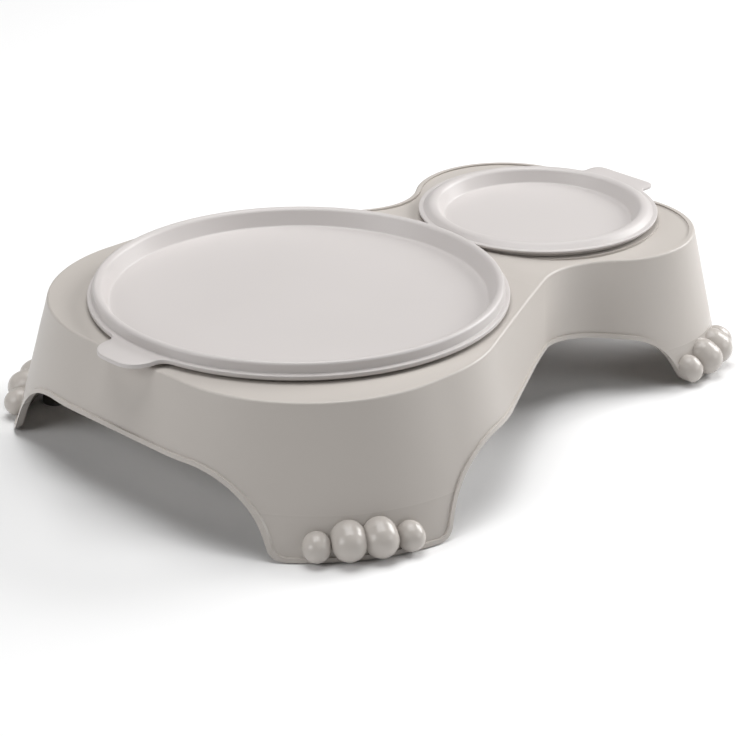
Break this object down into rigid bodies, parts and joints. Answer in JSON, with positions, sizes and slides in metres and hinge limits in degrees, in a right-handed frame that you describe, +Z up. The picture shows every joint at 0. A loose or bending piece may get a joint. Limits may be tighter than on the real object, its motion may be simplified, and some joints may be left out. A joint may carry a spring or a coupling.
{
  "type": "double pet food bowl",
  "caption": "Low feeding stand on pawed legs holding a large and a small lift-out bowl, each closed by a round press-on lid with a finger tab.",
  "frame": {"origin": "on the ground under the middle of the object", "axes": "+X from the large bowl to the small one, +Z up"},
  "size_m": [0.3168, 0.24, 0.0703],
  "materials": {
    "stand_plastic": "satin moulded polypropylene, warm light grey",
    "lid_plastic": "satin moulded polypropylene, warm light grey",
    "bowl_plastic": "smooth moulded polypropylene, warm light grey",
    "pad_rubber": "soft matte"
  },
  "bodies": {
    "stand": {"stand": "stand_plastic", "foot_pad_right_large": "pad_rubber", "foot_pad_right_small": "pad_rubber", "foot_pad_left_large": "pad_rubber", "foot_pad_left_small": "pad_rubber"},
    "large_bowl": {"large_bowl": "bowl_plastic"},
    "small_bowl": {"small_bowl": "bowl_plastic"},
    "large_lid": {"large_lid": "lid_plastic"},
    "small_lid": {"small_lid": "lid_plastic"}
  },
  "joints": [
    {"name": "large_bowl_lift", "type": "slide", "parent": "stand", "child": "large_bowl", "axis": [0, 0, 1], "range_m": [0, 0.08]},
    {"name": "small_bowl_lift", "type": "slide", "parent": "stand", "child": "small_bowl", "axis": [0, 0, 1], "range_m": [0, 0.08]},
    {"name": "large_lid_lift", "type": "slide", "parent": "large_bowl", "child": "large_lid", "axis": [0, 0, 1], "range_m": [0, 0.06]},
    {"name": "small_lid_lift", "type": "slide", "parent": "small_bowl", "child": "small_lid", "axis": [0, 0, 1], "range_m": [0, 0.06]}
  ]
}
